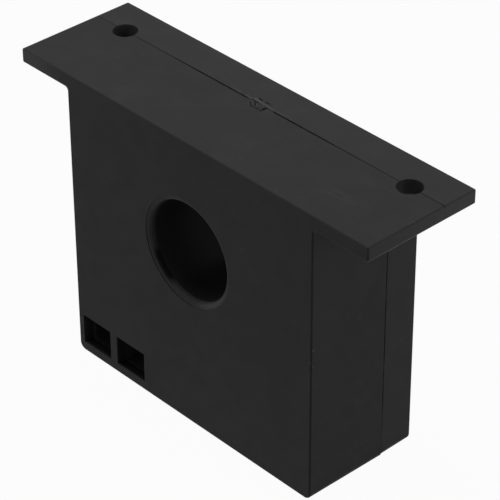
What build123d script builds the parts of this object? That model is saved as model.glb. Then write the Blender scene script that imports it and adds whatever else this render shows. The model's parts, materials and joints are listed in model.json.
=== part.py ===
from build123d import *
import os
from math import cos, radians, sin

os.makedirs("parts", exist_ok=True)

# Window-type current transducer in a two-part moulded case.
# Millimetres. X runs along the mounting flange, Y from the front face to the rear face, Z up.
# The origin is the centre of the bottom of the bounding box, and the flange is on top.
# The case is sized from the inside out: bore, wound ring and circuit board set its walls.

# Case walls
wall = 1.5
front_wall = 2.0
rear_wall = 1.6
draft = 0.5
cover_step = 0.15
body_corner = 1.8
inner_corner = 0.9
edge_round = 0.4
seam_chamfer = 0.12

# Flange
flange_thickness = 3.2
ear_length = 13.9
hole_radius = 2.65
hole_inset = 8.9
ear_fillet = 0.75

# Staked patch where the two halves are fused, in the middle of the flange's seam
patch_length = 4.6
patch_width = 3.3
patch_depth = 0.35
patch_offset = -0.4

# Bore and its tube
bore_radius = 11.0
tube_wall = 1.6
spigot_radius_step = 1.0
spigot_clearance = 0.1
tube_recess = 0.15
mouth_round = 0.9
collar_wall = 1.4
collar_length = 2.0
rim_round = 0.1
tube_rib_width = 1.2
tube_rib_count = 6

# Ring core in its insulating box
core_gap_to_tube = 3.8
core_width = 3.0
core_height = 14.0
core_bevel = 0.3
core_clearance = 0.15
core_box_wall = 0.8

# Secondary winding over the core box
winding_thickness = 1.0
bundle_rise = 0.25
bundle_count = 40
bundle_share = 0.62
winding_gap = 16.0
winding_bevel = 0.8
ring_clearance = 0.3

# Foam pads that hold the wound ring between the two walls
pad_thickness = 3.0
pad_clearance = 0.1
pad_inset = 0.8

# Clear space round the ring, inside the case
gap_over_ring = 0.7
gap_under_ring = 2.7

# Circuit board
board_length = 66.4
board_height = 15.4
board_thickness = 1.6
board_clearance = 0.4
board_corner = 1.0
row_margin = 0.6

# Tongue of the rear cover inside the front case
lip_length = 1.6
lip_thickness = 0.9
lip_root = 2.0
lip_clearance = 0.15
lip_end_gap = 0.4
lip_top_gap = 1.0

# Bosses and pegs that join the halves
boss_radius = 2.4
peg_radius = 1.2
peg_clearance = 0.1
peg_length = 4.8
socket_extra = 0.6
boss_gap = 0.1
boss_inset = 3.6
upper_boss_drop = 5.2
board_hole_clearance = 0.15

# Ribs that steady the ring from the sides
cradle_rib_thickness = 1.6
cradle_clearance = 0.3

# Output tabs, the windows over them and their carrier
tab_width = 6.3
tab_thickness = 0.8
tab_free_length = 7.8
tab_recess = 4.8
tab_tip_chamfer = 1.2
tab_hole_radius = 0.85
tab_hole_back = 3.4
tab_leg_width = 1.2
tab_leg_pitch = 3.8
tab_leg_out = 1.2
tab_clearance = 0.1
socket_side = 1.15
socket_above = 3.1
window_rib = 2.1
window_side = 1.8
window_floor = 2.4
carrier_wall = 1.2
carrier_base = 3.6
carrier_gap = 0.1
well_clearance = 0.1

# Electronic parts on the board
leg_radius = 0.3
leg_clearance = 0.15
leg_out = 1.0
leg_inset = 0.6
can_radius = 3.15
can_height = 11.0
can_groove = 0.35
can_leg_pitch = 2.5
bridge_length = 4.9
bridge_width = 4.0
bridge_height = 2.5
ic_length = 4.9
ic_width = 3.9
ic_height = 1.6
foot_length = 0.9
foot_thickness = 0.2
foot_width = 0.42
stand_off = 0.15
trimmer_length = 6.8
trimmer_width = 6.4
trimmer_height = 4.8
trimmer_screw_radius = 1.6
trimmer_leg_pitch = 2.5
burden_radius = 1.7
burden_length = 7.0
burden_span = 10.2
burden_leg_radius = 0.35
burden_lift = 0.4
disc_radius = 2.75
disc_thickness = 2.6
disc_neck = 1.4
disc_leg_pitch = 3.0
film_length = 7.2
film_width = 2.8
film_height = 6.5
film_leg_pitch = 5.0
to92_radius = 2.3
to92_flat = 1.4
to92_height = 4.6
to92_lift = 2.0
to92_leg_pitch = 1.9

# Leads from the winding to the board
lead_radius = 0.6
lead_pitch = 2.4
lead_bend = 1.6
lead_start = 15.0
lead_drop = 1.7
lead_out = 0.8

# Radii of the ring, from the bore outwards
tube_radius = bore_radius + tube_wall
spigot_radius = bore_radius + spigot_radius_step
rim_radius = spigot_radius + spigot_clearance
core_inner = tube_radius + core_gap_to_tube
core_outer = core_inner + core_width
box_inner = core_inner - core_clearance - core_box_wall
box_outer = core_outer + core_clearance + core_box_wall
box_height = core_height + 2 * (core_clearance + core_box_wall)
winding_inner = box_inner - winding_thickness - bundle_rise
winding_outer = box_outer + winding_thickness + bundle_rise
winding_height = box_height + 2 * (winding_thickness + bundle_rise)

# Overall sizes
body_length = board_length + 2 * (board_clearance + wall)
flange_length = body_length + 2 * ear_length
board_z = wall + board_clearance
board_top = board_z + board_height
bore_z = board_top + gap_under_ring + winding_outer
flange_z = bore_z + winding_outer + gap_over_ring
height = flange_z + flange_thickness
depth = front_wall + rear_wall + winding_height + 2 * (pad_thickness + pad_clearance)
y_front = -depth / 2
y_rear = depth / 2
y_front_wall = y_front + front_wall
y_rear_wall = y_rear - rear_wall
ring_y = (y_front_wall + y_rear_wall) / 2
hole_x = flange_length / 2 - hole_inset
bore_axis = Axis((0, 0, bore_z), (0, 1, 0))

# Places along Y, from the tab tips to the parting plane
y_tip = y_front + tab_recess
y_well = y_tip + tab_free_length
y_board = y_well + carrier_base
y_board_rear = y_board + board_thickness
y_part = y_board_rear + lip_end_gap + lip_length

# Windows in the front face
window_width = tab_width + 2 * socket_side
window_height = tab_thickness + 2 * socket_above
first_window_x = window_side + window_width / 2 - body_length / 2
window_x = [first_window_x, first_window_x + window_width + window_rib]
window_z = window_floor + window_height / 2
carrier_left = wall + board_clearance - body_length / 2
carrier_right = window_x[-1] + window_width / 2 + carrier_wall
carrier_top = window_floor + window_height + carrier_wall

# Bosses
boss_x = board_length / 2 - boss_inset
board_boss_z = board_top - boss_inset
upper_boss_z = flange_z - upper_boss_drop
board_bosses = [(-boss_x, board_boss_z), (boss_x, board_boss_z)]
upper_bosses = [(-boss_x, upper_boss_z), (boss_x, upper_boss_z)]


def facing_front(y):
    """Plane across the case at this Y, looking out of the front: local x is X, local y is Z."""
    return Plane(origin=(0, y, 0), x_dir=(1, 0, 0), z_dir=(0, -1, 0))


def facing_rear(y):
    """Plane across the case at this Y, looking out of the rear: local x is -X, local y is Z."""
    return Plane(origin=(0, y, 0), x_dir=(-1, 0, 0), z_dir=(0, 1, 0))


def radial_plane(turn):
    """Half section of the ring: local x is the radius, local y is Y, and turn 90 points down."""
    a = radians(turn)
    return Plane(origin=(0, ring_y, bore_z), x_dir=(cos(a), 0, -sin(a)), z_dir=(sin(a), 0, cos(a)))


def board_seat(x, z):
    """Place on the component side of the board, with its normal towards the front."""
    return Plane(origin=(x, y_board, z), x_dir=(1, 0, 0), z_dir=(0, -1, 0))


def spread(start, end, widths):
    """Centres of pieces of these widths, set with equal gaps between two places on a line."""
    gap = (end - start - sum(widths)) / (len(widths) + 1)
    centres = []
    at = start
    for width in widths:
        centres.append(at + gap + width / 2)
        at = centres[-1] + width / 2
    return centres


def body_outline(inset, corner, top):
    """Body seen from the front, up to this height, with its two lower corners rounded."""
    with Locations((0, (top + inset) / 2)):
        Rectangle(body_length - 2 * inset, top - inset)
    fillet(vertices().group_by(Axis.Y)[0], corner)


def section(inner, outer, length, bevel):
    """Rectangular section of a ring, between two radii, with bevelled corners."""
    with Locations(((inner + outer) / 2, 0)):
        Rectangle(outer - inner, length)
    chamfer(vertices(), bevel)


def save(piece, name):
    piece.part.label = name
    export_step(piece.part, "parts/" + name + ".step")


# Places of the parts on the board: a lower row beside the carrier, an upper row under the ring
lower_row = spread(
    carrier_right,
    board_length / 2 - row_margin,
    [2 * can_radius, bridge_length, ic_length, trimmer_length],
)
lead_edge = lead_pitch / 2 + lead_radius + leg_clearance
upper_left = spread(
    boss_radius - boss_x,
    -lead_edge,
    [burden_span + 2 * burden_leg_radius, 2 * disc_radius],
)
upper_right = spread(lead_edge, boss_x - boss_radius, [film_length, 2 * to92_radius])
lower_z = board_z + row_margin + trimmer_width / 2
upper_z = board_top - row_margin - 2 * to92_radius / 2
lead_z = board_top - lead_drop
can_at = (lower_row[0], lower_z)
bridge_at = (lower_row[1], lower_z)
ic_at = (lower_row[2], lower_z)
trimmer_at = (lower_row[3], lower_z)
burden_at = (upper_left[0], upper_z)
disc_at = (upper_left[1], upper_z)
film_at = (upper_right[0], upper_z)
to92_at = (upper_right[1], upper_z)


# Cuts that both halves share across the seam: the fixing holes and the staked patch
with BuildSketch(Plane.XY.offset(height)) as fixing_holes:
    with Locations((-hole_x, y_part), (hole_x, y_part)):
        Circle(hole_radius)

with BuildSketch(Plane.XY.offset(height)) as staked_patch:
    with Locations((patch_offset, y_part)):
        Rectangle(patch_length, patch_width)


# Front case: front face, most of the depth, and the larger part of the flange
with BuildPart() as front_case:
    with BuildSketch(facing_front(y_part)):
        body_outline(0, body_corner, flange_z + flange_thickness / 2)
    extrude(amount=y_part - y_front, taper=draft)
    with BuildSketch(facing_front(y_part)):
        with Locations((0, height - flange_thickness / 2)):
            Rectangle(flange_length, flange_thickness)
    extrude(amount=y_part - y_front)
    seam_rim = front_case.faces().sort_by(Axis.Y)[-1].outer_wire().edges()
    chamfer(seam_rim.filter_by_position(Axis.Z, flange_z + 0.01, height), seam_chamfer)
    junction = front_case.edges().filter_by_position(Axis.Z, flange_z - 0.01, flange_z + 0.01)
    fillet(junction.filter_by_position(Axis.X, -body_length / 2, body_length / 2), ear_fillet)
    front_rim = front_case.faces().sort_by(Axis.Y)[0].outer_wire().edges()
    ear_ends = front_case.edges().filter_by(Axis.Y).group_by(Axis.X)
    fillet(front_rim + ear_ends[0] + ear_ends[-1], edge_round)
    # Hollow, open towards the rear cover
    with BuildSketch(facing_front(y_part)):
        body_outline(wall, inner_corner, flange_z)
    extrude(amount=y_part - y_front_wall, taper=draft, mode=Mode.SUBTRACT)
    # Collar that takes the end of the bore tube
    with BuildSketch(facing_front(y_front_wall + collar_length)):
        with Locations((0, bore_z)):
            Circle(rim_radius + collar_wall)
    extrude(amount=collar_length)
    # Bosses: the lower pair carries the board, the upper pair meets the rear cover
    with BuildSketch(facing_front(y_board)):
        with Locations(*board_bosses):
            Circle(boss_radius)
    extrude(amount=y_board - y_front_wall)
    with BuildSketch(facing_front(y_part - boss_gap)):
        with Locations(*upper_bosses):
            Circle(boss_radius)
    extrude(amount=y_part - boss_gap - y_front_wall)
    # Ribs from the end walls to the ring
    with BuildSketch(facing_front(y_board_rear)):
        with Locations((0, bore_z)):
            Rectangle(body_length - wall, cradle_rib_thickness)
            Circle(winding_outer + cradle_clearance, mode=Mode.SUBTRACT)
    extrude(amount=y_board_rear - y_front_wall)
    # Bore, windows and peg sockets
    with BuildSketch(facing_front(y_front_wall + collar_length)):
        with Locations((0, bore_z)):
            Circle(rim_radius)
    extrude(amount=front_wall + collar_length, mode=Mode.SUBTRACT)
    with BuildSketch(facing_front(y_front_wall)):
        with Locations(*[(x, window_z) for x in window_x]):
            Rectangle(window_width, window_height)
    extrude(amount=front_wall, mode=Mode.SUBTRACT)
    with BuildSketch(facing_front(y_board)):
        with Locations(*board_bosses):
            Circle(peg_radius + peg_clearance)
    extrude(amount=peg_length - board_thickness + socket_extra, mode=Mode.SUBTRACT)
    with BuildSketch(facing_front(y_part)):
        with Locations(*upper_bosses):
            Circle(peg_radius + peg_clearance)
    extrude(amount=peg_length + socket_extra, mode=Mode.SUBTRACT)
    extrude(fixing_holes.sketch, amount=-flange_thickness, mode=Mode.SUBTRACT)
    extrude(staked_patch.sketch, amount=-patch_depth, mode=Mode.SUBTRACT)
    rim_edge = front_case.faces().sort_by(Axis.Y)[0].edges().filter_by(GeomType.CIRCLE)
    fillet(rim_edge.sort_by(SortBy.RADIUS)[-1], rim_round)


# Rear cover: rear face, bore tube, and the rest of the flange
with BuildPart() as rear_cover:
    with BuildSketch(facing_rear(y_part)):
        body_outline(cover_step, body_corner - cover_step, flange_z + flange_thickness / 2)
    extrude(amount=y_rear - y_part, taper=draft)
    with BuildSketch(facing_rear(y_part)):
        with Locations((0, height - flange_thickness / 2)):
            Rectangle(flange_length, flange_thickness)
    extrude(amount=y_rear - y_part)
    seam_rim = rear_cover.faces().sort_by(Axis.Y)[0].outer_wire().edges()
    chamfer(seam_rim.filter_by_position(Axis.Z, flange_z + 0.01, height), seam_chamfer)
    junction = rear_cover.edges().filter_by_position(Axis.Z, flange_z - 0.01, flange_z + 0.01)
    fillet(junction.filter_by_position(Axis.X, -body_length / 2, body_length / 2), ear_fillet)
    rear_rim = rear_cover.faces().sort_by(Axis.Y)[-1].outer_wire().edges()
    ear_ends = rear_cover.edges().filter_by(Axis.Y).group_by(Axis.X)
    fillet(rear_rim + ear_ends[0] + ear_ends[-1], edge_round)
    with BuildSketch(facing_rear(y_part)):
        body_outline(cover_step + wall, inner_corner, flange_z)
    extrude(amount=y_rear_wall - y_part, taper=draft, mode=Mode.SUBTRACT)
    # Tongue along the ends and the bottom, inside the front case
    with BuildSketch(facing_front(y_part + lip_root)):
        lip_inset = wall + lip_clearance
        body_outline(lip_inset, inner_corner, flange_z - lip_top_gap)
        with Locations((0, lip_inset + lip_thickness)):
            Rectangle(
                body_length - 2 * (lip_inset + lip_thickness),
                height,
                align=(Align.CENTER, Align.MIN),
                mode=Mode.SUBTRACT,
            )
    extrude(amount=lip_root + lip_length, taper=draft)
    # Bosses and their pegs
    with BuildSketch(facing_rear(y_board_rear + boss_gap)):
        with Locations(*board_bosses):
            Circle(boss_radius)
    extrude(amount=y_rear_wall - y_board_rear - boss_gap)
    with BuildSketch(facing_rear(y_board_rear - peg_length)):
        with Locations(*board_bosses):
            Circle(peg_radius)
    extrude(amount=y_rear_wall - y_board_rear + peg_length)
    with BuildSketch(facing_rear(y_part)):
        with Locations(*upper_bosses):
            Circle(boss_radius)
    extrude(amount=y_rear_wall - y_part)
    with BuildSketch(facing_rear(y_part - peg_length)):
        with Locations(*upper_bosses):
            Circle(peg_radius)
    extrude(amount=y_rear_wall - y_part + peg_length)
    # Tube round the bore, with its ribs and the thinner end that enters the collar
    y_shoulder = y_front_wall + collar_length + boss_gap
    with BuildSketch(facing_front(y_rear_wall)):
        with Locations((0, bore_z)):
            Circle(tube_radius)
            with PolarLocations(0, tube_rib_count):
                rib_reach = winding_inner - ring_clearance
                Rectangle(rib_reach, tube_rib_width, align=(Align.MIN, Align.CENTER))
    extrude(amount=y_rear_wall - y_shoulder)
    with BuildSketch(facing_front(y_shoulder)):
        with Locations((0, bore_z)):
            Circle(spigot_radius)
    extrude(amount=y_shoulder - y_front - tube_recess)
    with BuildSketch(facing_front(y_rear)):
        with Locations((0, bore_z)):
            Circle(bore_radius)
    extrude(amount=depth - tube_recess, mode=Mode.SUBTRACT)
    mouth_edge = rear_cover.faces().sort_by(Axis.Y)[0].edges().filter_by(GeomType.CIRCLE)
    fillet(mouth_edge.sort_by(SortBy.RADIUS)[0], mouth_round)
    rear_edge = rear_cover.faces().sort_by(Axis.Y)[-1].edges().filter_by(GeomType.CIRCLE)
    fillet(rear_edge.sort_by(SortBy.RADIUS)[-1], edge_round)
    extrude(fixing_holes.sketch, amount=-flange_thickness, mode=Mode.SUBTRACT)
    extrude(staked_patch.sketch, amount=-patch_depth, mode=Mode.SUBTRACT)


# Strip-wound ring core
with BuildPart() as ring_core:
    with BuildSketch(radial_plane(0)):
        section(core_inner, core_outer, core_height, core_bevel)
    revolve(axis=bore_axis)


# Insulating box round the core: a channel open to the front, and its lid
y_box_rear = ring_y + box_height / 2
y_box_mouth = ring_y - core_height / 2 - core_clearance
with BuildPart() as core_box:
    with BuildSketch(facing_front(y_box_rear)):
        with Locations((0, bore_z)):
            Circle(box_outer)
            Circle(box_inner, mode=Mode.SUBTRACT)
    extrude(amount=y_box_rear - y_box_mouth)
    with BuildSketch(facing_front(y_box_rear - core_box_wall)):
        with Locations((0, bore_z)):
            Circle(core_outer + core_clearance)
            Circle(core_inner - core_clearance, mode=Mode.SUBTRACT)
    extrude(amount=y_box_rear - core_box_wall - y_box_mouth, mode=Mode.SUBTRACT)

with BuildPart() as core_lid:
    with BuildSketch(facing_front(y_box_mouth)):
        with Locations((0, bore_z)):
            Circle(box_outer)
            Circle(box_inner, mode=Mode.SUBTRACT)
    extrude(amount=core_box_wall)


# Secondary winding: an even layer with raised bundles of turns, open at the bottom for its leads
with BuildPart() as secondary_winding:
    wound_arc = 360 - winding_gap
    first_turn = 90 + winding_gap / 2
    with BuildSketch(radial_plane(first_turn)):
        section(
            winding_inner + bundle_rise,
            winding_outer - bundle_rise,
            winding_height - 2 * bundle_rise,
            winding_bevel,
        )
        with Locations(((box_inner + box_outer) / 2, 0)):
            Rectangle(box_outer - box_inner, box_height, mode=Mode.SUBTRACT)
    revolve(axis=bore_axis, revolution_arc=wound_arc)
    for bundle in range(bundle_count):
        pitch = wound_arc / bundle_count
        with BuildSketch(radial_plane(first_turn + pitch * (bundle + (1 - bundle_share) / 2))):
            section(winding_inner, winding_outer, winding_height, winding_bevel)
            with Locations(((box_inner + box_outer) / 2, 0)):
                Rectangle(box_outer - box_inner, box_height, mode=Mode.SUBTRACT)
    revolve(axis=bore_axis, revolution_arc=bundle_share * wound_arc / bundle_count)


# Foam pads between the winding and the two walls
y_pads = {
    "front_pad": y_front_wall + pad_thickness,
    "rear_pad": y_rear_wall,
}
pads = {}
for name, y_pad in y_pads.items():
    with BuildPart() as pad:
        with BuildSketch(facing_front(y_pad)):
            with Locations((0, bore_z)):
                Circle(winding_outer - pad_inset)
                Circle(winding_inner + pad_inset, mode=Mode.SUBTRACT)
        extrude(amount=pad_thickness)
    pads[name] = pad


# Leads of the winding: down the back of the ring, then forward through the board
lead_y = ring_y + box_height / 2 + (winding_thickness + bundle_rise) / 2
lead_top = bore_z - lead_start
lead_x = {"start_lead": -lead_pitch / 2, "finish_lead": lead_pitch / 2}
leads = {}
for name, x in lead_x.items():
    with BuildPart() as lead:
        with BuildLine() as route:
            FilletPolyline(
                (x, lead_y, lead_top),
                (x, lead_y, lead_z),
                (x, y_board - lead_out, lead_z),
                radius=lead_bend,
            )
        with BuildSketch(Plane(origin=(x, lead_y, lead_top), z_dir=(0, 0, -1))):
            Circle(lead_radius)
        sweep(path=route.wires()[0])
    leads[name] = lead


def wire_legs(points, radius, rise):
    """Round legs from this height over the board, through it, to the trimmed ends behind it."""
    with Locations(*[(x, y, rise) for x, y in points]):
        Cylinder(radius, rise + board_thickness + leg_out, align=(Align.CENTER, Align.CENTER, Align.MAX))


def pair(pitch):
    return [(-pitch / 2, 0), (pitch / 2, 0)]


def triple(pitch):
    return [(-pitch, 0), (0, 0), (pitch, 0)]


# Smoothing capacitor: a radial can with a rolled groove over its seal
with BuildPart(board_seat(*can_at)) as smoothing_capacitor:
    Cylinder(can_radius, can_height, align=(Align.CENTER, Align.CENTER, Align.MIN))
    fillet(smoothing_capacitor.edges().filter_by(GeomType.CIRCLE).sort_by(Axis.Y)[0], can_groove)
    with Locations((0, 0, can_height / 6)):
        Torus(can_radius + can_groove / 2, can_groove, mode=Mode.SUBTRACT)
    wire_legs(pair(can_leg_pitch), leg_radius, leg_inset)


def chip(seat, length, width, rise, feet):
    """Flat surface-mounted package, drafted, with this many bent feet along each long side."""
    with BuildPart(seat) as package:
        with BuildSketch(seat.offset(stand_off)):
            Rectangle(length, width)
        extrude(amount=rise, taper=3)
        for side in (-1, 1):
            for foot in range(feet):
                x = length * ((foot + 0.5) / feet - 0.5)
                foot_y = side * (width + foot_length) / 2
                with Locations((x, foot_y, foot_thickness / 2)):
                    Box(foot_width, foot_length, foot_thickness)
                with Locations((x, side * width / 2, (stand_off + rise / 2) / 2)):
                    Box(foot_width, 2 * foot_thickness, stand_off + rise / 2)
    return package


bridge_rectifier = chip(board_seat(*bridge_at), bridge_length, bridge_width, bridge_height, 2)
transmitter_ic = chip(board_seat(*ic_at), ic_length, ic_width, ic_height, 4)


# Span trimmer: a square case with a slotted adjusting screw on top
with BuildPart(board_seat(*trimmer_at)) as span_trimmer:
    with BuildSketch(board_seat(*trimmer_at).offset(stand_off)):
        Rectangle(trimmer_length, trimmer_width)
    extrude(amount=trimmer_height)
    chamfer(span_trimmer.edges().filter_by(Axis.Y), edge_round)
    with Locations((0, 0, stand_off + trimmer_height)):
        Cylinder(trimmer_screw_radius, edge_round, align=(Align.CENTER, Align.CENTER, Align.MIN))
        Box(
            2 * trimmer_screw_radius,
            edge_round,
            edge_round,
            align=(Align.CENTER, Align.CENTER, Align.MIN),
            mode=Mode.SUBTRACT,
        )
    wire_legs(triple(trimmer_leg_pitch), leg_radius, stand_off + leg_inset)


# Burden resistor: an axial body on a bent wire
burden_z = burden_radius + burden_lift
with BuildPart(board_seat(*burden_at)) as burden_resistor:
    seat = board_seat(*burden_at)
    with BuildLine(Plane(origin=seat.origin, x_dir=seat.x_dir, z_dir=(0, 0, 1))) as wire:
        FilletPolyline(
            (-burden_span / 2, board_thickness + leg_out),
            (-burden_span / 2, -burden_z),
            (burden_span / 2, -burden_z),
            (burden_span / 2, board_thickness + leg_out),
            radius=2 * burden_leg_radius,
        )
    with BuildSketch(Plane(origin=wire.wires()[0] @ 0, z_dir=(0, -1, 0))):
        Circle(burden_leg_radius)
    sweep(path=wire.wires()[0])
    with Locations((0, 0, burden_z)):
        Cylinder(burden_radius, burden_length, rotation=(0, 90, 0))
    ends = burden_resistor.edges().filter_by(GeomType.CIRCLE).group_by(SortBy.RADIUS)[-1]
    fillet(ends, burden_radius / 3)


# Surge suppressor: a coated disc on two legs
with BuildPart(board_seat(*disc_at)) as surge_suppressor:
    with Locations((0, 0, disc_radius + disc_neck)):
        Cylinder(disc_radius, disc_thickness, rotation=(90, 0, 0))
    fillet(surge_suppressor.edges().filter_by(GeomType.CIRCLE), disc_thickness / 3)
    wire_legs(pair(disc_leg_pitch), leg_radius, disc_neck + disc_radius / 2)


# Film capacitor: a moulded box on two legs
with BuildPart(board_seat(*film_at)) as film_capacitor:
    with BuildSketch(board_seat(*film_at).offset(stand_off)):
        Rectangle(film_length, film_width)
    extrude(amount=film_height)
    fillet(film_capacitor.edges().filter_by(Axis.Y), edge_round)
    wire_legs(pair(film_leg_pitch), leg_radius, stand_off + leg_inset)


# Pass transistor: a D-shaped package on three legs
with BuildPart(board_seat(*to92_at)) as pass_transistor:
    with BuildSketch(board_seat(*to92_at).offset(to92_lift)):
        Circle(to92_radius)
        with Locations((0, -to92_flat)):
            Rectangle(
                2 * to92_radius,
                to92_radius,
                align=(Align.CENTER, Align.MAX),
                mode=Mode.SUBTRACT,
            )
    extrude(amount=to92_height)
    wire_legs(triple(to92_leg_pitch), leg_radius, to92_lift + leg_inset)


# Output tabs: blade with a detent hole, a body in the carrier, and two legs through the board
def tab_holes(x):
    return [(x - tab_leg_pitch / 2, window_z), (x + tab_leg_pitch / 2, window_z)]


tab_names = ["output_tab_left", "output_tab_right"]
tabs = {}
for name, x in zip(tab_names, window_x):
    with BuildPart() as tab:
        with BuildSketch(Plane.XY.offset(window_z - tab_thickness / 2)):
            with Locations((x, (y_tip + y_board) / 2)):
                Rectangle(tab_width, y_board - y_tip)
            chamfer(vertices().group_by(Axis.Y)[0], tab_tip_chamfer)
            with Locations((x, y_tip + tab_hole_back)):
                Circle(tab_hole_radius, mode=Mode.SUBTRACT)
            with Locations(*[(leg_x, y_board) for leg_x, _ in tab_holes(x)]):
                Rectangle(
                    tab_leg_width,
                    board_thickness + tab_leg_out,
                    align=(Align.CENTER, Align.MIN),
                )
        extrude(amount=tab_thickness)
    tabs[name] = tab


# Carrier of the tabs: it stands on the board and reaches to the front wall, with a well behind
# each window that the walls of the case close below and at the end
with BuildPart() as terminal_carrier:
    with BuildSketch(facing_front(y_board)):
        with Locations((carrier_left, board_z)):
            Rectangle(
                carrier_right - carrier_left,
                carrier_top - board_z,
                align=(Align.MIN, Align.MIN),
            )
    extrude(amount=y_board - y_front_wall - carrier_gap)
    with BuildSketch(facing_front(y_well)):
        with Locations(*[(x, 0) for x in window_x]):
            Rectangle(
                window_width + 2 * well_clearance,
                window_floor + window_height + well_clearance,
                align=(Align.CENTER, Align.MIN),
            )
    extrude(amount=y_well - y_front_wall, mode=Mode.SUBTRACT)
    with BuildSketch(facing_front(y_board)):
        with Locations(*[(x, window_z) for x in window_x]):
            Rectangle(tab_width + 2 * tab_clearance, tab_thickness + 2 * tab_clearance)
    extrude(amount=carrier_base, mode=Mode.SUBTRACT)


# Circuit board, with a hole for every peg, leg and lead
def places(at, offsets):
    return [(at[0] + x, at[1] + y) for x, y in offsets]


leg_places = (
    places(can_at, pair(can_leg_pitch))
    + places(trimmer_at, triple(trimmer_leg_pitch))
    + places(disc_at, pair(disc_leg_pitch))
    + places(film_at, pair(film_leg_pitch))
    + places(to92_at, triple(to92_leg_pitch))
)
tab_places = tab_holes(window_x[0]) + tab_holes(window_x[1])
with BuildPart() as circuit_board:
    with BuildSketch(facing_front(y_board_rear)):
        with Locations((0, board_z + board_height / 2)):
            RectangleRounded(board_length, board_height, board_corner)
        with Locations(*board_bosses):
            Circle(peg_radius + board_hole_clearance, mode=Mode.SUBTRACT)
        with Locations(*leg_places):
            Circle(leg_radius + leg_clearance, mode=Mode.SUBTRACT)
        with Locations(*places(burden_at, pair(burden_span))):
            Circle(burden_leg_radius + leg_clearance, mode=Mode.SUBTRACT)
        with Locations(*[(x, lead_z) for x in lead_x.values()]):
            Circle(lead_radius + leg_clearance, mode=Mode.SUBTRACT)
        with Locations(*tab_places):
            Rectangle(
                tab_leg_width + 2 * leg_clearance,
                tab_thickness + 2 * leg_clearance,
                mode=Mode.SUBTRACT,
            )
    extrude(amount=board_thickness)


pieces = {
    "front_case": front_case,
    "rear_cover": rear_cover,
    "ring_core": ring_core,
    "core_box": core_box,
    "core_lid": core_lid,
    "secondary_winding": secondary_winding,
    **pads,
    **leads,
    "circuit_board": circuit_board,
    "terminal_carrier": terminal_carrier,
    **tabs,
    "smoothing_capacitor": smoothing_capacitor,
    "bridge_rectifier": bridge_rectifier,
    "transmitter_ic": transmitter_ic,
    "span_trimmer": span_trimmer,
    "burden_resistor": burden_resistor,
    "surge_suppressor": surge_suppressor,
    "film_capacitor": film_capacitor,
    "pass_transistor": pass_transistor,
}
for name, piece in pieces.items():
    save(piece, name)
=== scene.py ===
import json
import math

import bpy
from mathutils import Matrix, Vector, noise


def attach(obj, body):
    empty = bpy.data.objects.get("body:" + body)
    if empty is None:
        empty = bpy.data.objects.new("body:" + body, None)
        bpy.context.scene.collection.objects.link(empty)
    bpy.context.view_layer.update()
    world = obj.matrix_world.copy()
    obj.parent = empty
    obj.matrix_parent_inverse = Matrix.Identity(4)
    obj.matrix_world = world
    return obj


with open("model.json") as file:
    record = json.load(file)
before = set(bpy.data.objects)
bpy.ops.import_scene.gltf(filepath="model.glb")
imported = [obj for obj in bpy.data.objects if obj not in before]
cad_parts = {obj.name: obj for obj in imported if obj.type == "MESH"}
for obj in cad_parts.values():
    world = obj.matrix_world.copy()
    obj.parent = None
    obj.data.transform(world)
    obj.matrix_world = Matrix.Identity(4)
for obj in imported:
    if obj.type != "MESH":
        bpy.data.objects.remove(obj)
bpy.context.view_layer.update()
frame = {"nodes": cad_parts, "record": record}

nodes = frame["nodes"]
MM = 0.001

# Places and sizes on the object, in millimetres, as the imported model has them
HEIGHT = 67.1
FLANGE_Z = 63.9
FLANGE_END = 49.0
SEAM_Y = 5.7
BORE_Z = 41.6
RIM_RADIUS = 12.05
HOLE_X = 40.1
WINDOWS_X = -23.65
WINDOWS_Z = 5.9
PATCH_X = -0.4
PATCH_LENGTH = 4.6
PATCH_WIDTH = 3.3
PATCH_DEPTH = 0.35

# Share of plain white in what the camera sees of the floor: the rest keeps the object's shadow
FLOOR_WHITE = 0.96
WORLD_LEVEL = 0.5


def rgb(r, g, b):
    return (r, g, b, 1.0)


def grey(level):
    return rgb(level, level, level)


# Camera
def make_camera():
    """Camera at the photograph's viewing angle: its axes, its place in metres and its lens."""
    data = bpy.data.cameras.new("camera")
    cam = bpy.data.objects.new("camera", data)
    bpy.context.scene.collection.objects.link(cam)
    right = Vector((0.681994, 0.731349, -0.003577))
    down = Vector((0.410677, -0.387, -0.825576))
    ahead = Vector((-0.605169, 0.561569, -0.56428))
    turn = Matrix((right, -down, -ahead)).transposed()
    cam.matrix_world = Matrix.Translation(Vector((0.304622, -0.279926, 0.318512))) @ turn.to_4x4()
    data.sensor_width = 36.0
    data.lens = 181.169
    data.clip_start = 0.01
    data.clip_end = 20.0
    bpy.context.scene.camera = cam


make_camera()


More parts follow.
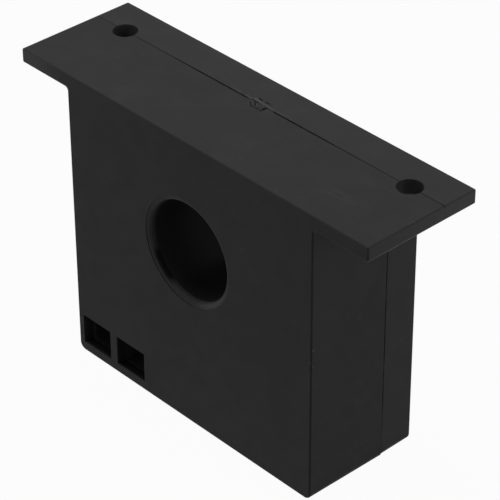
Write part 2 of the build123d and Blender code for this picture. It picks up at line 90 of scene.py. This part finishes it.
# Shorthand for materials
class Paint:
    """One material, built with short calls. Coordinates are the object's own, in metres."""

    def __init__(self, name):
        self.material = bpy.data.materials.new(name)
        self.material.use_nodes = True
        self.tree = self.material.node_tree
        self.tree.nodes.clear()
        self.out = self.node("ShaderNodeOutputMaterial")
        self.shader = self.node("ShaderNodeBsdfPrincipled")
        self.tree.links.new(self.shader.outputs[0], self.out.inputs[0])
        self.place = self.node("ShaderNodeTexCoord").outputs["Object"]

    def node(self, kind, settings=None, **inputs):
        n = self.tree.nodes.new(kind)
        for key, value in (settings or {}).items():
            setattr(n, key, value)
        for key, value in inputs.items():
            self.put(n, key.replace("_", " "), value)
        return n

    def put(self, n, key, value):
        socket = n.inputs[key]
        if isinstance(value, bpy.types.NodeSocket):
            self.tree.links.new(value, socket)
        else:
            socket.default_value = value

    def calc(self, operation, *values):
        n = self.node("ShaderNodeMath", {"operation": operation})
        for i, value in enumerate(values):
            self.put(n, i, value)
        return n.outputs[0]

    def product(self, first, *others):
        for value in others:
            first = self.calc("MULTIPLY", first, value)
        return first

    def length(self, a, b):
        return self.calc("SQRT", self.calc("ADD", self.product(a, a), self.product(b, b)))

    def gap(self, value, centre):
        return self.calc("ABSOLUTE", self.calc("SUBTRACT", value, centre))

    def above(self, value, limit):
        return self.calc("GREATER_THAN", value, limit)

    def below(self, value, limit):
        return self.calc("LESS_THAN", value, limit)

    def ramp(self, value, low, high, out_low=0.0, out_high=1.0):
        n = self.node("ShaderNodeMapRange", {"interpolation_type": "SMOOTHSTEP"})
        for key, v in zip(("Value", "From Min", "From Max", "To Min", "To Max"),
                          (value, low, high, out_low, out_high)):
            self.put(n, key, v)
        return n.outputs[0]

    def near(self, value, centre, full, none):
        """1 where the value is within full of the centre, down to 0 where it is none away."""
        return self.ramp(self.gap(value, centre), full, none, 1.0, 0.0)

    def mix(self, factor, a, b):
        n = self.node("ShaderNodeMix", {"data_type": "RGBA"})
        for i, value in ((0, factor), (6, a), (7, b)):
            self.put(n, i, value)
        return n.outputs[2]

    def noise(self, scale, detail=2.0, roughness=0.5, vector=None):
        n = self.node("ShaderNodeTexNoise", Vector=vector or self.place, Scale=scale,
                      Detail=detail, Roughness=roughness)
        return n.outputs["Fac"]

    def stretch(self, x, y, z):
        """The object's coordinates, scaled along each axis, for grain that runs one way."""
        return self.node("ShaderNodeMapping", Vector=self.place, Scale=(x, y, z)).outputs[0]

    def cells(self, scale, output="Distance", feature="F1"):
        n = self.node("ShaderNodeTexVoronoi", {"feature": feature}, Vector=self.place, Scale=scale)
        return n.outputs[output]

    def axes(self):
        """The object's coordinates in millimetres."""
        n = self.node("ShaderNodeSeparateXYZ", Vector=self.place)
        return [self.product(n.outputs[i], 1 / MM) for i in range(3)]

    def facing(self):
        """The surface's direction: how far it faces along X, Y and Z."""
        n = self.node("ShaderNodeSeparateXYZ", Vector=self.node("ShaderNodeNewGeometry").outputs["Normal"])
        return n.outputs

    def bump(self, height, distance, strength):
        return self.node("ShaderNodeBump", Height=height, Distance=distance, Strength=strength).outputs[0]

    def finish(self, color, roughness, normal, **fixed):
        self.put(self.shader, "Base Color", color)
        self.put(self.shader, "Roughness", roughness)
        self.put(self.shader, "Normal", normal)
        for key, value in fixed.items():
            self.shader.inputs[key.replace("_", " ")].default_value = value
        return self.material


# Moulded case
class CasePlastic(Paint):
    """The case's plastic. Each method gives a mask for one mark on it, by place and direction."""

    def __init__(self, name):
        super().__init__(name)
        self.x, self.y, self.z = self.axes()
        self.facing_x, self.facing_y, self.up = self.facing()
        self.across = self.calc("ABSOLUTE", self.x)
        self.level = self.ramp(self.up, 0.9, 0.99)
        self.off_seam = self.gap(self.y, SEAM_Y)
        self.on_flange = self.above(self.z, FLANGE_Z + 0.5)
        self.from_patch = self.calc("SUBTRACT", self.gap(self.x, PATCH_X), 2.2)
        self.rise = self.calc("SUBTRACT", self.z, BORE_Z)
        self.radius = self.length(self.x, self.rise)

    def seam_painted_shade(self):
        """Painted shade along the seam: widest near the middle of the flange, and high on the end faces."""
        off_flange = self.calc("SUBTRACT", 1.0, self.on_flange)
        width = self.calc("ADD", self.ramp(self.from_patch, 10.0, 26.0, 0.3, 0.13), self.product(off_flange, 0.15))
        line = self.ramp(self.calc("DIVIDE", self.off_seam, width), 0.45, 1.0, 1.0, 0.0)
        along = self.calc("MAXIMUM", self.ramp(self.across, 20.0, 40.0, 1.0, 0.22),
                          self.ramp(self.x, 41.0, 43.5, 0.0, 0.75))
        off_patch = self.ramp(self.gap(self.x, PATCH_X + 0.35), 3.3, 4.1)
        top = self.product(along, off_patch, self.on_flange, self.ramp(self.up, 0.1, 0.7))
        ends = self.product(self.ramp(self.z, 4.0, 16.0, 0.25, 1.0), self.below(self.z, FLANGE_Z - 0.1),
                            self.above(self.across, 34.5))
        broken = self.ramp(self.noise(420, 2, 0.6), 0.3, 0.62, 0.6, 1.0)
        return self.product(line, self.calc("ADD", top, ends), broken)

    def squeezed_lip(self):
        """Light lip of squeezed plastic behind the seam, on both sides of the patch."""
        return self.product(self.near(self.y, SEAM_Y + 0.5, 0.1, 0.32),
                            self.ramp(self.from_patch, 1.5, 9.0, 1.0, 0.0),
                            self.ramp(self.noise(700, 3, 0.6), 0.4, 0.6), self.on_flange)

    def rubbed(self):
        """Rubbed patches on the mounting face."""
        return self.product(self.ramp(self.noise(170, 5, 0.7), 0.45, 0.75), self.level)

    def streak(self):
        """Short scratches on the mounting face, at its front right."""
        scratches = self.ramp(self.noise(1.0, 3, 0.6, self.stretch(160, 1500, 400)), 0.42, 0.62)
        return self.product(self.near(self.x, 33.0, 1.5, 5.0), self.near(self.y, -5.7, 0.5, 2.0),
                            scratches, self.level)

    def painted_light_flange_ends(self):
        """Painted light on both ends of the flange, making their front and end faces a little paler."""
        right_end = self.product(self.ramp(self.facing_x, 0.4, 0.9), self.ramp(self.y, -14.0, 13.0, 0.3, 0.85))
        return self.product(self.ramp(self.across, 33.0, 48.0), self.ramp(self.z, FLANGE_Z - 1.0, FLANGE_Z + 0.6),
                            self.ramp(self.up, 0.2, 0.9, 1.0, 0.0),
                            self.calc("MAXIMUM", right_end, self.below(self.x, 0.0)))

    def speck(self):
        """Dust: a speck here and there, and more of them on the right end."""
        chosen = self.node("ShaderNodeSeparateColor", Color=self.cells(700, "Color")).outputs[0]
        return self.product(self.ramp(self.cells(700), 0.04, 0.17, 1.0, 0.0),
                            self.above(chosen, self.ramp(self.facing_x, 0.5, 0.9, 0.965, 0.935)))

    def nicks(self):
        """Nicks along the front right corner, halfway up."""
        return self.product(self.ramp(self.x, 33.6, 34.4), self.ramp(self.y, -13.4, -12.6, 1.0, 0.0),
                            self.near(self.z, 35.0, 4.0, 10.0), self.ramp(self.noise(1500, 2, 0.5), 0.62, 0.7))

    def corner(self):
        """Rounded front right corner, with painted shade that makes it dark against both faces."""
        between = self.calc("MINIMUM", self.facing_x, self.product(self.facing_y, -1.0))
        return self.product(self.ramp(between, 0.15, 0.55), self.above(self.x, 30.0),
                            self.ramp(self.z, 30.0, 58.0, 1.0, 0.7))

    def end_face_painted_light_and_shade(self):
        """Painted light on the upper part of the right end face, and painted shade on its lower part."""
        to_end = self.ramp(self.facing_x, 0.85, 0.97)
        upper = self.product(self.ramp(self.z, 34.0, 62.0), to_end, self.below(self.z, FLANGE_Z))
        lower = self.product(self.ramp(self.z, 0.0, 34.0, 1.0, 0.0), to_end)
        return upper, lower

    def scuffed(self):
        """Scuffs on both end faces."""
        return self.product(self.ramp(self.noise(240, 5, 0.7), 0.56, 0.74),
                            self.ramp(self.calc("ABSOLUTE", self.facing_x), 0.8, 0.97),
                            self.ramp(self.noise(1500, 3, 0.6), 0.42, 0.6))

    def arris_painted_glint(self):
        """Painted glint on the bottom edge of the flange's right end."""
        return self.product(self.ramp(self.z, FLANGE_Z + 0.12, FLANGE_Z + 0.4, 1.0, 0.0),
                            self.ramp(self.x, 48.2, 48.6), self.ramp(self.y, -14.0, 2.0, 0.45, 1.0))

    def bore_mouth_painted_light(self):
        """Rounded mouth of the bore: a painted highlight at the lower right and painted shade at the lower left."""
        angle = self.product(self.calc("ARCTAN2", self.rise, self.x), 180 / math.pi)
        mouth = self.product(self.below(self.radius, RIM_RADIUS), self.below(self.y, -12.5))
        mouth_highlight = self.product(self.near(angle, -48.0, 12.0, 38.0), mouth)
        mouth_shade = self.product(self.near(angle, -138.0, 12.0, 25.0), self.ramp(self.y, -13.86, -13.6), mouth)
        return mouth_highlight, mouth_shade

    def bore_wall_painted_shade(self):
        """Painted shade on the wall of the bore behind its mouth, which is paler towards the rear and in its upper
        part.
        """
        fading = self.product(self.ramp(self.y, -9.0, -0.5), self.ramp(self.rise, -10.8, -9.4), 0.6)
        return self.product(self.calc("SUBTRACT", self.ramp(self.rise, -10.6, -9.0, 0.74, 0.6), fading),
                            self.ramp(self.y, -12.75, -12.35), self.below(self.radius, 11.2))

    def fixing_holes_painted_shade(self):
        """Painted shade on the walls of the two holes in the flange, stronger in the left hole."""
        from_axis = self.length(self.calc("SUBTRACT", self.across, HOLE_X), self.off_seam)
        return self.product(self.ramp(from_axis, 2.72, 2.85, 1.0, 0.0),
                            self.ramp(self.z, HEIGHT - 0.25, HEIGHT - 0.02, 1.0, 0.0),
                            self.ramp(self.x, -1.0, 1.0, 0.36, 0.12))

    def window_walls_painted_shade(self):
        """Painted shade on the sides and floors of the two windows, in the front wall."""
        side = self.calc("MAXIMUM", self.ramp(self.up, 0.3, 0.8, 0.0, 0.8), self.ramp(self.x, -26.0, -22.0, 0.2, 0.42))
        return self.product(self.below(self.gap(self.x, WINDOWS_X), 9.8), self.below(self.gap(self.z, WINDOWS_Z), 3.6),
                            self.ramp(self.y, -13.95, -13.6), self.below(self.y, -9.0), side)

    def window_line(self):
        """Faint pale line round the inside of the windows, behind the front wall."""
        return self.product(self.near(self.y, -11.1, 0.08, 0.5), self.below(self.gap(self.z, 4.1), 2.5),
                            self.below(self.gap(self.x, WINDOWS_X), 10.2),
                            self.ramp(self.noise(330, 3, 0.6), 0.38, 0.62, 0.25, 0.75))


def moulded_plastic(name, tone=1.0, roughness=0.52):
    """Black thermoplastic from a finely eroded mould, with dust and faint rubbing, and with painted light and shade on
    its seam, ends, edges, bore, holes and windows.
    """
    p = CasePlastic(name)
    seam_shade = p.seam_painted_shade()
    upper, lower = p.end_face_painted_light_and_shade()
    mouth_highlight, mouth_shade = p.bore_mouth_painted_light()
    recess_shade = p.calc("MAXIMUM", p.calc("MAXIMUM", p.bore_wall_painted_shade(), p.fixing_holes_painted_shade()), p.window_walls_painted_shade())
    dust = rgb(0.12, 0.12, 0.118)
    base = p.mix(p.ramp(p.noise(45, 4, 0.6), 0.3, 0.7), rgb(0.0255 * tone, 0.0255 * tone, 0.0256 * tone),
                 rgb(0.0275 * tone, 0.0275 * tone, 0.0277 * tone))
    # Marks from the lowest layer to the uppermost: mask, how much of it shows, colour
    layers = [
        (p.rubbed(), 0.16, grey(0.05)),
        (p.streak(), 0.2, grey(0.06)),
        # Painted light: paler flange ends
        (p.painted_light_flange_ends(), 1.0, grey(0.06)),
        (p.squeezed_lip(), 0.45, grey(0.075)),
        (p.speck(), 0.3, dust),
        # Painted light at the top of the right end face, painted shade at its bottom
        (upper, 0.3, grey(0.042)),
        (lower, 0.25, grey(0.010)),
        # Painted shade on the rounded corner
        (p.corner(), 0.6, grey(0.006)),
        (p.scuffed(), 0.3, grey(0.06)),
        (p.nicks(), 0.5, dust),
        # Painted glint under the flange's right end
        (p.arris_painted_glint(), 0.8, grey(0.3)),
        # Painted shade along the seam
        (seam_shade, 0.93, grey(0.002)),
        # Painted highlight on the mouth of the bore
        (mouth_highlight, 0.8, rgb(0.055, 0.055, 0.056)),
        # Painted shade on the mouth of the bore
        (mouth_shade, 0.92, grey(0.002)),
        # Painted shade in the bore, the flange holes and the windows
        (recess_shade, 1.0, rgb(0.0012, 0.0012, 0.0013)),
        (p.window_line(), 1.0, grey(0.075)),
    ]
    for mask, share, color in layers:
        base = p.mix(p.product(mask, share), base, color)
    rough = p.ramp(p.noise(260, 3, 0.5), 0.3, 0.7, roughness - 0.03, roughness + 0.04)
    rough = p.calc("ADD", rough, p.product(seam_shade, 0.35))
    grain = p.bump(p.noise(5200, 3, 0.6), 0.000035, 0.6)
    return p.finish(base, rough, grain, Specular_IOR_Level=0.05)


def melted_plastic():
    """The case's plastic where it was melted: uneven, with painted shade in its hollows and a pale smear."""
    p = Paint("melted_plastic")
    x, y, z = p.axes()
    hollow_shade = p.ramp(z, HEIGHT - 0.26, HEIGHT - 0.08, 1.0, 0.0)
    off_smear = p.calc("ADD", p.calc("SUBTRACT", y, SEAM_Y + 0.72), p.product(x, 0.07))
    smear = p.ramp(p.calc("ABSOLUTE", off_smear), 0.12, 0.4, 1.0, 0.0)
    smear = p.product(smear, p.ramp(p.noise(800, 3, 0.6), 0.3, 0.55, 0.35, 1.0))
    flecks = p.ramp(p.noise(1100, 3, 0.6), 0.48, 0.66, 0.0, 0.55)
    base = p.mix(p.ramp(p.noise(900, 4, 0.6), 0.3, 0.7), rgb(0.020, 0.020, 0.0202), rgb(0.032, 0.032, 0.0322))
    base = p.mix(p.product(p.calc("MAXIMUM", smear, flecks), 0.62), base, grey(0.078))
    # Painted shade: the low parts of the fused patch are darkened
    base = p.mix(p.product(hollow_shade, 0.93), base, grey(0.002))
    rough = p.ramp(p.noise(1500, 3, 0.6), 0.3, 0.7, 0.42, 0.55)
    return p.finish(base, rough, p.bump(p.noise(4200, 3, 0.6), 0.00004, 0.6), Specular_IOR_Level=0.06)


# Inner parts
def plain_plastic(name, color, roughness, specular=0.5):
    """Moulded or dipped plastic with slight mottling and a fine skin."""
    p = Paint(name)
    light = tuple(min(1.0, c * 1.12) for c in color)
    dark = tuple(c * 0.88 for c in color)
    base = p.mix(p.ramp(p.noise(320, 4, 0.6), 0.3, 0.7), rgb(*dark), rgb(*light))
    rough = p.ramp(p.noise(900, 3, 0.5), 0.3, 0.7, roughness - 0.05, roughness + 0.06)
    skin = p.bump(p.noise(2400, 3, 0.6), 0.00003, 0.5)
    return p.finish(base, rough, skin, Specular_IOR_Level=specular)


def tinned_brass():
    """Blade tab: tin plate with rolling lines, dulled in places."""
    p = Paint("tinned_brass")
    rolled = p.noise(1.0, 3, 0.6, p.stretch(260, 5200, 260))
    dull = p.noise(700, 4, 0.6)
    base = p.mix(p.ramp(dull, 0.35, 0.7), rgb(0.62, 0.60, 0.56), rgb(0.42, 0.40, 0.37))
    rough = p.ramp(rolled, 0.3, 0.7, 0.28, 0.42)
    return p.finish(base, rough, p.bump(rolled, 0.00002, 0.5), Metallic=1.0)


def strip_steel():
    """Ring wound from steel strip: the edges of its turns show as fine rings."""
    p = Paint("core_steel")
    flat = p.node("ShaderNodeMapping", Vector=p.place, Location=(0, 0, -BORE_Z * MM), Scale=(1, 0, 1))
    from_axis = p.node("ShaderNodeVectorMath", {"operation": "LENGTH"}, Vector=flat.outputs[0])
    turns = p.calc("SINE", p.product(from_axis.outputs["Value"], 2 * math.pi / (0.3 * MM)))
    base = p.mix(p.ramp(turns, -0.6, 0.6), rgb(0.24, 0.24, 0.25), rgb(0.44, 0.44, 0.45))
    rough = p.ramp(p.noise(800, 3, 0.6), 0.3, 0.7, 0.3, 0.46)
    return p.finish(base, rough, p.bump(turns, 0.00003, 0.6), Metallic=1.0)


def enamelled_copper():
    """Turns of enamelled wire laid side by side round the ring."""
    p = Paint("enamelled_copper")
    x, _, z = p.axes()
    angle = p.calc("ARCTAN2", p.calc("SUBTRACT", z, BORE_Z), x)
    wires = p.calc("ABSOLUTE", p.calc("SINE", p.product(angle, 190.0)))
    base = p.mix(p.ramp(p.noise(500, 3, 0.6), 0.3, 0.7), rgb(0.42, 0.13, 0.045), rgb(0.62, 0.24, 0.085))
    # Painted shade in the grooves between the turns of wire
    base = p.mix(p.ramp(wires, 0.0, 0.5, 0.8, 0.0), base, rgb(0.09, 0.025, 0.01))
    return p.finish(base, 0.3, p.bump(wires, 0.00022, 0.8), Metallic=0.75, Coat_Weight=0.5, Coat_Roughness=0.12)


def cellular_rubber():
    """Dark rubber full of small pores."""
    p = Paint("foam")
    # Painted shade in the pores: they are darker than the rubber round them
    pores = p.ramp(p.cells(2100), 0.1, 0.55)
    return p.finish(p.mix(pores, grey(0.02), grey(0.085)), 0.9, p.bump(pores, 0.0001, 0.8), Specular_IOR_Level=0.2)


def board_laminate():
    """Solder mask over a woven glass laminate, tracks faintly raised beneath it."""
    p = Paint("board")
    x, _, z = p.axes()
    weave = p.product(p.calc("SINE", p.product(x, 9.0)), p.calc("SINE", p.product(z, 9.0)))
    tracks = p.ramp(p.cells(230, "Distance", "DISTANCE_TO_EDGE"), 0.03, 0.07, 1.0, 0.0)
    base = p.mix(p.ramp(weave, -0.8, 0.8), rgb(0.016, 0.10, 0.035), rgb(0.024, 0.13, 0.048))
    base = p.mix(p.product(tracks, 0.55), base, rgb(0.06, 0.24, 0.09))
    return p.finish(base, 0.3, p.bump(tracks, 0.00004, 0.7), Coat_Weight=0.3, Coat_Roughness=0.15)


materials = {
    "case": moulded_plastic("case"),
    "core_steel": strip_steel(),
    "core_box": plain_plastic("core_box", (0.72, 0.70, 0.64), 0.5),
    "enamelled_copper": enamelled_copper(),
    "foam": cellular_rubber(),
    "lead_sleeve": plain_plastic("lead_sleeve", (0.42, 0.03, 0.022), 0.34),
    "board": board_laminate(),
    "carrier": plain_plastic("carrier", (0.022, 0.022, 0.023), 0.45, specular=0.3),
    "tinned_brass": tinned_brass(),
    "can_sleeve": plain_plastic("can_sleeve", (0.025, 0.035, 0.085), 0.28),
    "epoxy_black": plain_plastic("epoxy_black", (0.022, 0.022, 0.024), 0.55),
    "trimmer_blue": plain_plastic("trimmer_blue", (0.035, 0.11, 0.40), 0.35),
    "resistor_body": plain_plastic("resistor_body", (0.28, 0.40, 0.48), 0.35),
    "disc_coating": plain_plastic("disc_coating", (0.07, 0.15, 0.38), 0.3),
    "film_box": plain_plastic("film_box", (0.52, 0.39, 0.07), 0.35),
}
cover_plastic = moulded_plastic("case_cover", 1.12, 0.5)

slots = {part["node"]: part["material_slot"] for part in frame["record"]["subparts"]}
for name, obj in nodes.items():
    for s in obj.material_slots:
        s.link = "OBJECT"
        s.material = cover_plastic if name == "rear_cover" else materials[slots[name]]


# Thin pieces of fused plastic and flash, which ride on the part
def make_piece(name, verts, faces, material):
    """A mesh of plastic from points in millimetres."""
    mesh = bpy.data.meshes.new(name)
    mesh.from_pydata([tuple(v * MM for v in vert) for vert in verts], [], faces)
    mesh.update()
    mesh.materials.append(material)
    piece = bpy.data.objects.new(name, mesh)
    bpy.context.scene.collection.objects.link(piece)
    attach(piece, "root")
    return mesh


def rim_bead():
    """Thin bead of flash that closes the gap round the bore's mouth, except at the lower left."""
    first, last, steps = math.radians(-85), math.radians(180), 150
    section = ((11.97, -13.9), (11.97, -13.96), (12.13, -14.0), (12.13, -13.9))
    sides = len(section)
    verts, faces = [], []
    for i in range(steps + 1):
        angle = first + (last - first) * i / steps
        for radius, y in section:
            verts.append((radius * math.cos(angle), y, BORE_Z + radius * math.sin(angle)))
    for i in range(steps):
        for k in range(sides):
            n = (k + 1) % sides
            faces.append((i * sides + k, i * sides + n, (i + 1) * sides + n, (i + 1) * sides + k))
    faces.append(tuple(reversed(range(sides))))
    faces.append(tuple(steps * sides + k for k in range(sides)))
    make_piece("rim_bead", verts, faces, materials["case"])


def seam_fill():
    """Fused plastic in the groove of the seam, on both ends of the flange."""
    half, low, high = 0.13, FLANGE_Z + 0.25, HEIGHT - 0.35
    bottom, surface = FLANGE_END - 0.15, FLANGE_END - 0.015
    verts, faces = [], []
    for side in (-1, 1):
        first = len(verts)
        for z in (low, high):
            for x, y in ((bottom, SEAM_Y), (surface, SEAM_Y + half), (surface, SEAM_Y - half)):
                verts.append((side * x, y, z))
        a, b, c, d, e, f = range(first, first + 6)
        for face in ((a, b, e, d), (b, c, f, e), (c, a, d, f), (a, c, b), (d, e, f)):
            faces.append(face if side > 0 else face[::-1])
    make_piece("seam_fill", verts, faces, materials["case"])


# Lines and dots of the fused patch: ends along X and Y from the middle of the patch, width, rise
MARKS = [
    (-1.7, 1.55, -0.5, 1.42, 0.11, -0.26),
    (0.15, 1.42, 1.35, 1.5, 0.09, -0.24),
    (1.9, -0.75, 2.1, 0.1, 0.25, -0.4),
    (1.8, -1.45, 2.0, -1.4, 0.22, -0.4),
    (-2.2, 0.3, -1.3, 0.4, 0.14, -0.26),
    (-1.9, -0.5, -1.1, -1.3, 0.13, -0.2),
    (-0.9, -1.4, 1.2, -1.5, 0.12, -0.28),
    (-0.8, -0.4, -0.2, -0.9, 0.16, -0.26),
    (0.3, -0.9, 1.3, -1.0, 0.11, -0.16),
    (-1.2, 0.0, -0.4, 0.35, 0.13, -0.24),
]


def ridge(px, py, ax, ay, bx, by, width, rise):
    """Height of a soft ridge or groove along a short line."""
    dx, dy = bx - ax, by - ay
    t = max(0.0, min(1.0, ((px - ax) * dx + (py - ay) * dy) / (dx * dx + dy * dy)))
    d = math.hypot(px - ax - t * dx, py - ay - t * dy)
    return rise * math.exp(-(d / width) ** 2)


def patch_height(px, py):
    """Height of the fused plastic over the floor of its pocket."""
    h = 0.325
    for mark in MARKS:
        h += ridge(px, py, *mark)
    h += 0.03 * noise.noise(Vector((px * 1.7, py * 1.7, 3.1)))
    h += 0.03 * noise.noise(Vector((px * 5.0, py * 5.0, 7.7)))
    return max(0.0, min(PATCH_DEPTH - 0.005, h))


def fused_patch():
    """Rough plate of melted plastic that fills the pocket in the seam."""
    nx, ny, gap = 110, 80, 0.004
    lx, ly = PATCH_LENGTH - 2 * gap, PATCH_WIDTH - 2 * gap
    floor_z = HEIGHT - PATCH_DEPTH + 0.002
    row = nx + 1
    verts, faces = [], []
    for j in range(ny + 1):
        for i in range(nx + 1):
            px, py = lx * (i / nx - 0.5), ly * (j / ny - 0.5)
            verts.append((PATCH_X + px, SEAM_Y + py, floor_z + patch_height(px, py)))
    for j in range(ny):
        for i in range(nx):
            a = j * row + i
            faces.append((a, a + 1, a + row + 1, a + row))
    rim = list(range(row)) + [j * row + nx for j in range(1, ny + 1)]
    rim += [ny * row + i for i in range(nx - 1, -1, -1)] + [j * row for j in range(ny - 1, 0, -1)]
    first, count = len(verts), len(rim)
    for k in rim:
        verts.append((verts[k][0], verts[k][1], floor_z))
    for k in range(count):
        n = (k + 1) % count
        faces.append((rim[n], rim[k], first + k, first + n))
    faces.append(tuple(first + k for k in range(count - 1, -1, -1)))
    mesh = make_piece("fused_patch", verts, faces, melted_plastic())
    for polygon in mesh.polygons:
        polygon.use_smooth = len(polygon.vertices) == 4 and abs(polygon.normal.z) > 0.2


rim_bead()
seam_fill()
fused_patch()


# Stage and light
def seen_directly(tree):
    """1 for what the camera sees itself, in a reflection or through glass."""
    path = tree.nodes.new("ShaderNodeLightPath")
    total = path.outputs["Is Camera Ray"]
    for ray in ("Is Glossy Ray", "Is Transmission Ray"):
        n = tree.nodes.new("ShaderNodeMath")
        n.operation = "MAXIMUM"
        tree.links.new(total, n.inputs[0])
        tree.links.new(path.outputs[ray], n.inputs[1])
        total = n.outputs[0]
    return total


def make_floor():
    """Plain pale floor that shows white but keeps the object's soft shadow."""
    size = 6.0
    mesh = bpy.data.meshes.new("floor")
    corners = [(-size, -size, 0), (size, -size, 0), (size, size, 0), (-size, size, 0)]
    mesh.from_pydata(corners, [], [(0, 1, 2, 3)])
    floor = bpy.data.objects.new("floor", mesh)
    bpy.context.scene.collection.objects.link(floor)
    material = bpy.data.materials.new("floor")
    material.use_nodes = True
    tree = material.node_tree
    tree.nodes.clear()
    pale = tree.nodes.new("ShaderNodeBsdfDiffuse")
    pale.inputs["Color"].default_value = grey(0.3)
    white = tree.nodes.new("ShaderNodeEmission")
    blend = tree.nodes.new("ShaderNodeMixShader")
    share = tree.nodes.new("ShaderNodeMath")
    share.operation = "MULTIPLY"
    share.inputs[1].default_value = FLOOR_WHITE
    out = tree.nodes.new("ShaderNodeOutputMaterial")
    tree.links.new(seen_directly(tree), share.inputs[0])
    tree.links.new(share.outputs[0], blend.inputs[0])
    tree.links.new(pale.outputs[0], blend.inputs[1])
    tree.links.new(white.outputs[0], blend.inputs[2])
    tree.links.new(blend.outputs[0], out.inputs[0])
    mesh.materials.append(material)


def make_world():
    """White where the camera sees it, and a plain level of light on the object."""
    world = bpy.data.worlds.new("studio")
    bpy.context.scene.world = world
    world.use_nodes = True
    tree = world.node_tree
    tree.nodes.clear()
    out = tree.nodes.new("ShaderNodeOutputWorld")
    back = tree.nodes.new("ShaderNodeBackground")
    level = tree.nodes.new("ShaderNodeMapRange")
    level.inputs["To Min"].default_value = WORLD_LEVEL
    level.inputs["To Max"].default_value = 1.0
    tree.links.new(seen_directly(tree), level.inputs["Value"])
    tree.links.new(level.outputs[0], back.inputs["Strength"])
    tree.links.new(back.outputs[0], out.inputs[0])


def make_lamp(name, place, size, power):
    """Square soft box that faces the object."""
    aim = Vector((0.0, 0.0, 0.035))
    data = bpy.data.lights.new(name, "AREA")
    data.size = size
    data.energy = power
    lamp = bpy.data.objects.new(name, data)
    lamp.location = place
    lamp.rotation_euler = (aim - Vector(place)).to_track_quat("-Z", "Y").to_euler()
    bpy.context.scene.collection.objects.link(lamp)


make_floor()
make_world()
make_lamp("top_box", (-0.3, 0.0, 0.95), 0.5, 5.0)
make_lamp("right_box", (0.95, 0.15, 0.26), 0.6, 1.7)
make_lamp("left_box", (-0.5, -0.9, 0.3), 0.5, 0.8)
bpy.context.scene.view_settings.view_transform = "Standard"
